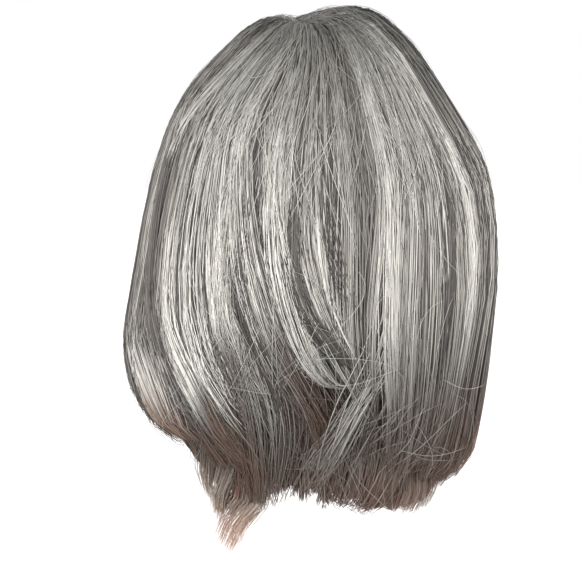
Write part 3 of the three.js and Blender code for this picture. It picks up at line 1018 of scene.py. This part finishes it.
def grow_crossing(
    rng, count=170, stations=9, starts=(0.5, 3.2), falls=(1.1, 2.4), hangs=(42, 140), turns=14,
    base=0.97, lifts=(0.03, 0.055), lighter=0.11, lightest=0.6, radius=0.17, tones=(0.45, 0.98),
):
    """Single hairs that cross the rest at a slant, high on the back."""
    each = (count, 1)
    along = stations_along(stations)
    start = rng.uniform(*starts, each)
    level = start + rng.uniform(*falls, each) * along
    hang = rng.uniform(*hangs, each) + rng.normal(0, turns, each) * (along - 0.5)
    angle = hang + fanned_angle(hang, level)
    arch = np.sqrt(np.sin(np.pi * along))
    paths = between_forms(level, angle, base + rng.uniform(*lifts, each) * arch)
    shade = np.minimum(level_shade(level, hang) + lighter, lightest)
    return single_hairs(rng, along, paths, radius, tones, shade)


def grow_part_fuzz(
    rng, count=180, roots=(0.1, 0.6), tips=(0.3, 1), turns=45, sunk=0.6, shade=0.26,
    radius=0.15, tones=(0.3, 0.9),
):
    """Short hairs that arch over the part and the whorl."""
    along = stations_along(FUZZ_STATIONS)
    angle = rng.uniform(FRONT_LEFT, FRONT_RIGHT, (count, 1))
    root = outer_point(rng.uniform(*roots, (count, 1)), angle)
    tip_level = rng.uniform(*tips, (count, 1))
    tip = outer_point(tip_level, angle + rng.normal(0, turns, (count, 1)))
    paths = mix(root, tip, along[..., None])
    height = rng.triangular(left=0.2, mode=0.8, right=3.4, size=(count, 1))
    paths[..., 2] += height * np.sin(np.pi * along) - sunk
    return single_hairs(rng, along, paths, radius, tones, np.full(paths.shape[:2], shade))


def grow_fuzz(
    rng, count=240, from_front=8, falls=(0.6, 1.8), turns=6, base=0.96, lifts=(0.03, 0.13), arch=0.7,
    radius=0.1, tones=(0.35, 0.95),
):
    """Short fine hairs that stand a little off the crown hair, all round."""
    each = (count, 1)
    along = stations_along(FUZZ_STATIONS)
    start = rng.triangular(left=0.3, mode=1.2, right=5.5, size=each)
    hang = rng.uniform(FRONT_LEFT + from_front, FRONT_RIGHT - from_front, each)
    level = start + rng.uniform(*falls, each) * along
    drawn = hang + rng.normal(0, turns, each) * along**2
    angle = swept_angle(TIERS["crown"], drawn, level) + fanned_angle(drawn, level)
    share = base + rng.uniform(*lifts, each) * np.sin(np.pi * along) ** arch
    paths = between_forms(level, angle, share)
    return single_hairs(rng, along, paths, radius, tones, level_shade(level, angle))


# The crown's strands are split by angle, because a piece has a limit of triangles. The last part goes
# a little past the end, in degrees.
CROWN_PARTS = 3
LAST_PART_PAST = 0.01


def part_of(strands, chosen):
    return {name: values[chosen] for name, values in strands.items()}


def joined(groups):
    return {name: np.concatenate([group[name] for group in groups]) for name in groups[0]}


def dress_tier(piece, rng):
    hair_body(piece, rng)
    strands = grow(piece, rng)
    name = piece["name"] + "_strands"
    if piece["tier"] != "crown":
        strand_piece(name, strands, piece["tier"])
        return
    edges = np.linspace(piece["start"], piece["end"] + LAST_PART_PAST, CROWN_PARTS + 1)
    for i in range(CROWN_PARTS):
        chosen = (strands["hang"] >= edges[i]) & (strands["hang"] < edges[i + 1])
        strand_piece(f"{name}_{i + 1}", part_of(strands, chosen), "crown")


def dress_locks(rng):
    light_locks = [grow_lock(rng, *lock) for lock in LIGHT_LOCKS]
    # The dark locks are painted shade in the gaps between the light locks.
    painted_shade_locks = [grow_lock(rng, *lock, shade=DARK_SHADE) for lock in PAINTED_SHADE_LOCKS]
    strand_piece("crown_locks", joined(light_locks + painted_shade_locks), "crown")
    crossing_lock = grow_lock(rng, *CROSS_LOCK, shade=CROSS_SHADE, loose=1.9)
    strand_piece("crossing_lock", crossing_lock, "crown")
    edge_locks = [grow_lock(rng, *lock) for lock in EDGE_LOCKS]
    for start, strands in zip(EDGE_STARTS, edge_locks):
        # The edge locks' places in the shading are scattered, so their painted highlight begins unevenly.
        uneven = rng.normal(0, EDGE_SCATTER, (len(strands["tone"]), 1))
        strands["shade"] = mix(start, 1, stations_along(LOCK_STATIONS)) + uneven
    strand_piece("edge_locks", joined(edge_locks), "edge")
    strand_piece("tail_locks", joined([grow_tail(rng, *tail) for tail in TAIL_LOCKS]), "tail")


def dress_loose_hair(rng):
    strand_piece("flyaways", joined([grow_flyaways(rng), grow_stray(rng)]), "crown")
    strand_piece("crossing_hairs", grow_crossing(rng), "crown")
    strand_piece("part_fuzz", grow_part_fuzz(rng), "crown")
    strand_piece("fuzz", grow_fuzz(rng), "crown")
    strand_piece("nape_inner_strands", grow(NAPE_INNER, rng), "nape")
    falling_lock = grow_lock(rng, *FALL_LOCK, shade=FALL_SHADE, loose=1.2, sink=0.3)
    strand_piece("falling_lock", falling_lock, "crown")


def dress_hair():
    rng = np.random.default_rng(SEED)
    for piece in PIECES:
        dress_tier(piece, rng)
    dress_locks(rng)
    dress_loose_hair(np.random.default_rng(SEED + 2))


dress_hair()


# The cap

# The rim's height at angles from the middle of the forehead to the nape.
CAP_RIM = columns(
    "angle height",
    [(0, -58), (12, -58.6), (42, -74), (66, -136), (92, -127), (122, -150), (150, -171),
     (168, -180), (180, -181.5)],
)
CAP_TURNS = 96
CAP_ROWS = 30
# Shares of the way down to the rim: where the first row is, how wide the band at the rim is and how far
# the rim's rounding goes past it. The band bulges in millimetres.
CAP_TOP = 0.004
BAND_WIDTH = 0.1
BAND_BULGE = 0.35
RIM_ROLL = 0.006
RIM_ROWS = 6


def cap_profile():
    """Rows from the crown's inside down to the rim, round it and up the outside: share down and wall."""
    down = np.linspace(CAP_TOP, 1, CAP_ROWS)
    turn = np.linspace(0, np.pi, RIM_ROWS + 2)[1:-1]
    band = BAND_BULGE * np.sqrt(np.sin(np.pi * np.clip((down - 1 + BAND_WIDTH) / BAND_WIDTH, 0, 1)))
    share = np.concatenate([down, 1 + RIM_ROLL * np.sin(turn), down[::-1]])
    rolled = CAP_WALL * (1 - np.cos(turn)) / 2
    wall = np.concatenate([np.zeros(CAP_ROWS), rolled, (CAP_WALL + band)[::-1]])
    return share[:, None], wall[:, None]


def cap_surface(share, turn, wall):
    """Points at a share of the way down to the rim, a turn from the forehead and a height off the head."""
    rim = rows_at_angle(CAP_RIM, 180 * (1 - np.abs(2 * (turn % 1) - 1)))["height"]
    polar = share * np.arccos((rim + HEAD["half_height"]) / HEAD["half_height"])
    heading = 2 * np.pi * turn
    x = (HEAD["half_width"] + wall) * np.sin(polar) * np.sin(heading)
    y = -(HEAD["half_depth"] + wall) * np.sin(polar) * np.cos(heading)
    z = (HEAD["half_height"] + wall) * np.cos(polar) - HEAD["half_height"]
    return np.stack([x, y, z], -1)


def grow_hairline(
    rng, count=620, stations=6, reach=0.15, part=0.015, aways=(0.02, 0.06), bend=1.3, roots=(0, 0.05),
    lengths=(0.2, 0.36), gap=0.3, heights=(2, 5), arched=0.8, dark_share=0.3, dark=0.15, light=0.65,
    scatter=0.15, shades=(0.16, 0.28),
):
    """Short hair rooted along the front rim and brushed back from the part under the crown hair."""
    each = (count, 1)
    along = stations_along(stations)
    root = rng.uniform(-reach, reach, each)
    turn = root + np.sign(root - part) * rng.uniform(*aways, each) * along**bend
    share = 1 - rng.uniform(*roots, each) - rng.uniform(*lengths, each) * along
    lift = CAP_WALL + gap + rng.uniform(*heights, each) * np.sin(arched * np.pi * along)
    tone = np.where(rng.random(count) < dark_share, dark, light)
    return dict(
        paths=cap_surface(share, turn, lift),
        radii=radii_along(rng, count, along),
        tone=tone + rng.normal(0, scatter, count),
        shade=np.broadcast_to(mix(*shades, along), turn.shape),
    )


# The net's repeats round and down the cap and its threads, and the sewn rows' spacing in millimetres.
NET_REPEATS = (420, 240)
NET_GLOSS = dict(roughness=0.85, specular=0.15)
THREADS = {"Scale": 0.32, "Distortion": 0.6}
NET_DARK = (0.35, srgb(38, 35, 33))
NET_LIGHT = (0.8, srgb(88, 82, 78))
WEFT_SPACING = 13
WEFT_FROM = 0.36
WEFT_COLOUR = srgb(112, 106, 101)
NET_BUMP = dict(strength=0.5, distance=0.0005)


def cap_material():
    """Stretch net: a fine diamond mesh crossed by rows of sewn weft."""
    material, tree, shader = new_material("stretch_net", **NET_GLOSS)
    where = map_place(tree)
    crossed = []
    for lean in (1, -1):
        repeats = scaled(tree, where, (NET_REPEATS[0], lean * NET_REPEATS[1], 1))
        threads = add_node(tree, "TexWave", {"Vector": repeats, **THREADS})
        threads.bands_direction = "DIAGONAL"
        crossed.append(threads.outputs["Fac"])
    net = math_node(tree, "MAXIMUM", *crossed)
    space = tree.nodes.new("ShaderNodeTexCoord")
    height = axes_of(tree, space.outputs["Object"])["Z"]
    rows = math_node(tree, "PINGPONG", math_node(tree, "DIVIDE", height, WEFT_SPACING * MM), 0.5)
    sewn = math_node(tree, "GREATER_THAN", rows, WEFT_FROM)
    colour = mixed(tree, "MIX", sewn, ramp(tree, net, [NET_DARK, NET_LIGHT]), WEFT_COLOUR)
    tree.links.new(colour, shader.inputs["Base Color"])
    bumped(tree, shader, math_node(tree, "ADD", net, sewn), **NET_BUMP)
    return material


def dress_cap():
    share, wall = cap_profile()
    points = cap_surface(share, np.linspace(0, 1, CAP_TURNS + 1)[None, :], wall)
    rows, turns, _ = points.shape
    faces = grid_quads(np.arange(rows * turns).reshape(rows, turns))[:, TURNED]
    u, v = np.meshgrid(np.linspace(0, 1, turns), np.linspace(0, 1, rows))
    uv = np.stack([u.ravel(), v.ravel()], -1)
    cap = mesh_piece("cap_net", points.reshape(-1, 3), [faces], uv, cap_material())
    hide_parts("cap")
    strand_piece("hairline", grow_hairline(np.random.default_rng(SEED + 1)), "crown")


dress_cap()


# Stage, light and camera

FLOOR_DROP = 0.6
FLOOR_RADIUS = 30
FLOOR_SIDES = 64
FLOOR_GLOSS = dict(roughness=0.9, specular=0.2)
FLOOR_COLOUR = srgb(244, 244, 243)
CAMERA_AIM = Vector((14.3, 0, -169.3)) * MM
CAMERA_ELEVATION = 5.0
CAMERA_DISTANCE = 1.1
FRAME_WIDTH = 0.377
SENSOR = 36.0


def make_stage():
    below = (0, 0, cad_low.z - FLOOR_DROP)
    bpy.ops.mesh.primitive_circle_add(
        vertices=FLOOR_SIDES, radius=FLOOR_RADIUS, fill_type="NGON", location=below
    )
    floor = bpy.context.object
    floor.name = "floor"
    material, _, shader = new_material("pale_floor", **FLOOR_GLOSS)
    shader.inputs["Base Color"].default_value = FLOOR_COLOUR
    floor.data.materials.append(material)


LIGHTS = [
    dict(name="key", strength=3.2, softness=20, towards=(0.25, 0.9, 0.7)),
    dict(name="fill", strength=0.7, softness=60, towards=(-0.8, 0.6, 0.4)),
    dict(name="front_left", strength=1.5, softness=60, towards=(0.6, -0.75, 0.35)),
    dict(name="front_right", strength=1.5, softness=60, towards=(-0.6, -0.75, 0.35)),
]
# How bright the white sky is to the camera, and as a light.
SKY_SEEN = 1.0
SKY_LIGHT = 0.5


def add_object(data, towards):
    """A light or a camera of its data's name, on the side that towards says and looking back from it."""
    thing = bpy.data.objects.new(data.name, data)
    thing.rotation_mode = "QUATERNION"
    thing.rotation_quaternion = towards.to_track_quat("Z", "Y")
    bpy.context.scene.collection.objects.link(thing)
    return thing


def make_light():
    world = bpy.data.worlds.new("studio")
    bpy.context.scene.world = world
    world.use_nodes = True
    tree = world.node_tree
    background = tree.nodes["Background"]
    background.inputs["Color"].default_value = (1, 1, 1, 1)
    seen = tree.nodes.new("ShaderNodeLightPath").outputs["Is Camera Ray"]
    strength = add_node(tree, "MapRange", {"Value": seen, "To Min": SKY_LIGHT, "To Max": SKY_SEEN})
    tree.links.new(strength.outputs["Result"], background.inputs["Strength"])
    for row in LIGHTS:
        light = bpy.data.lights.new(row["name"], "SUN")
        light.energy = row["strength"]
        light.angle = np.radians(row["softness"])
        add_object(light, Vector(row["towards"]))
    bpy.context.scene.view_settings.view_transform = "Standard"


def make_camera():
    data = bpy.data.cameras.new("camera")
    data.sensor_width = SENSOR
    data.lens = SENSOR * CAMERA_DISTANCE / FRAME_WIDTH
    rise = np.radians(CAMERA_ELEVATION)
    back = Vector((0, np.cos(rise), np.sin(rise)))
    camera = add_object(data, back)
    camera.location = CAMERA_AIM + back * CAMERA_DISTANCE
    bpy.context.scene.camera = camera


make_stage()
make_light()
make_camera()
